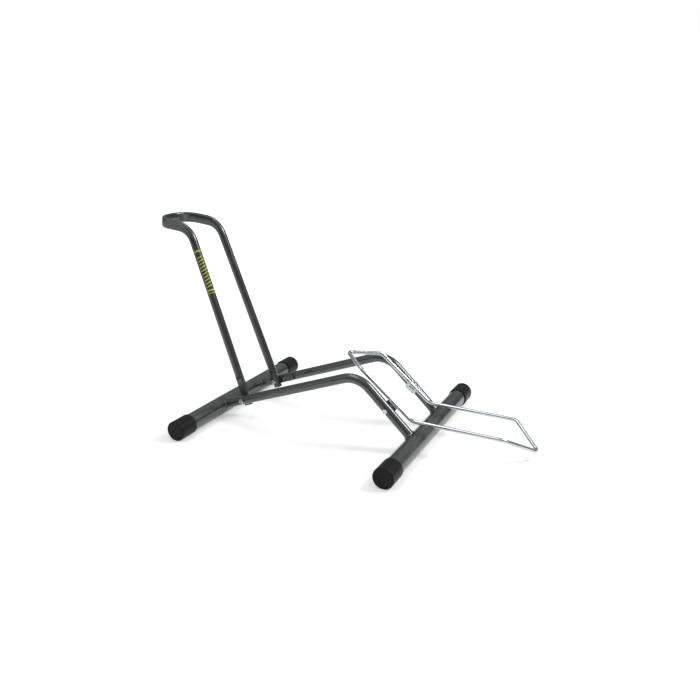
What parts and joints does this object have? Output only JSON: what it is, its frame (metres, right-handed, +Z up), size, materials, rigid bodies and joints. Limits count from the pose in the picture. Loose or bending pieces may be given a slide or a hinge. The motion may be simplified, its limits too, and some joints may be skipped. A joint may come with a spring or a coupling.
{
  "type": "floor bike rack",
  "caption": "Floor bike rack: welded tube base, folding tube hoop that holds a wheel upright and a rocking wire loop that guides the tyre in.",
  "frame": {"origin": "on the floor, at the middle of the rack's bounding box", "axes": "+X towards the open front where the wheel rolls in, +Y to the rack's right as seen from the front, +Z up"},
  "size_m": [0.8548, 0.4628, 0.4348],
  "materials": {
    "charcoal_paint": "dark metallic charcoal, satin gloss",
    "black_rubber": "satin black moulded rubber",
    "zinc_fasteners": "bright zinc plate",
    "bright_wire": "bright plated rod",
    "zinc_plate": "plated sheet steel"
  },
  "bodies": {
    "frame": {"rear_cross_tube": "charcoal_paint", "front_cross_tube": "charcoal_paint", "rear_left_cap": "black_rubber", "rear_right_cap": "black_rubber", "front_left_cap": "black_rubber", "front_right_cap": "black_rubber", "left_rail": "charcoal_paint", "right_rail": "charcoal_paint", "frame_welds": "charcoal_paint", "left_hoop_bolt": "zinc_fasteners", "right_hoop_bolt": "zinc_fasteners", "left_hoop_nut": "zinc_fasteners", "right_hoop_nut": "zinc_fasteners", "left_loop_bolt": "zinc_fasteners", "right_loop_bolt": "zinc_fasteners", "loop_spacers": "zinc_fasteners", "loop_washers": "zinc_fasteners", "left_loop_nut": "zinc_fasteners", "right_loop_nut": "zinc_fasteners"},
    "hoop": {"wheel_hoop": "charcoal_paint"},
    "loop": {"wire_loop": "bright_wire", "left_loop_tab": "zinc_plate", "right_loop_tab": "zinc_plate", "tab_welds": "zinc_plate"}
  },
  "joints": [
    {"name": "hoop_fold", "type": "hinge", "parent": "frame", "child": "hoop", "pos_m": [-0.20259, 0, 0.04304], "axis": [0, 1, 0], "range_deg": [0, 65]},
    {"name": "loop_tilt", "type": "hinge", "parent": "frame", "child": "loop", "pos_m": [0.14258, 0, 0.08114], "axis": [0, 1, 0], "range_deg": [-60, 2.4]}
  ]
}
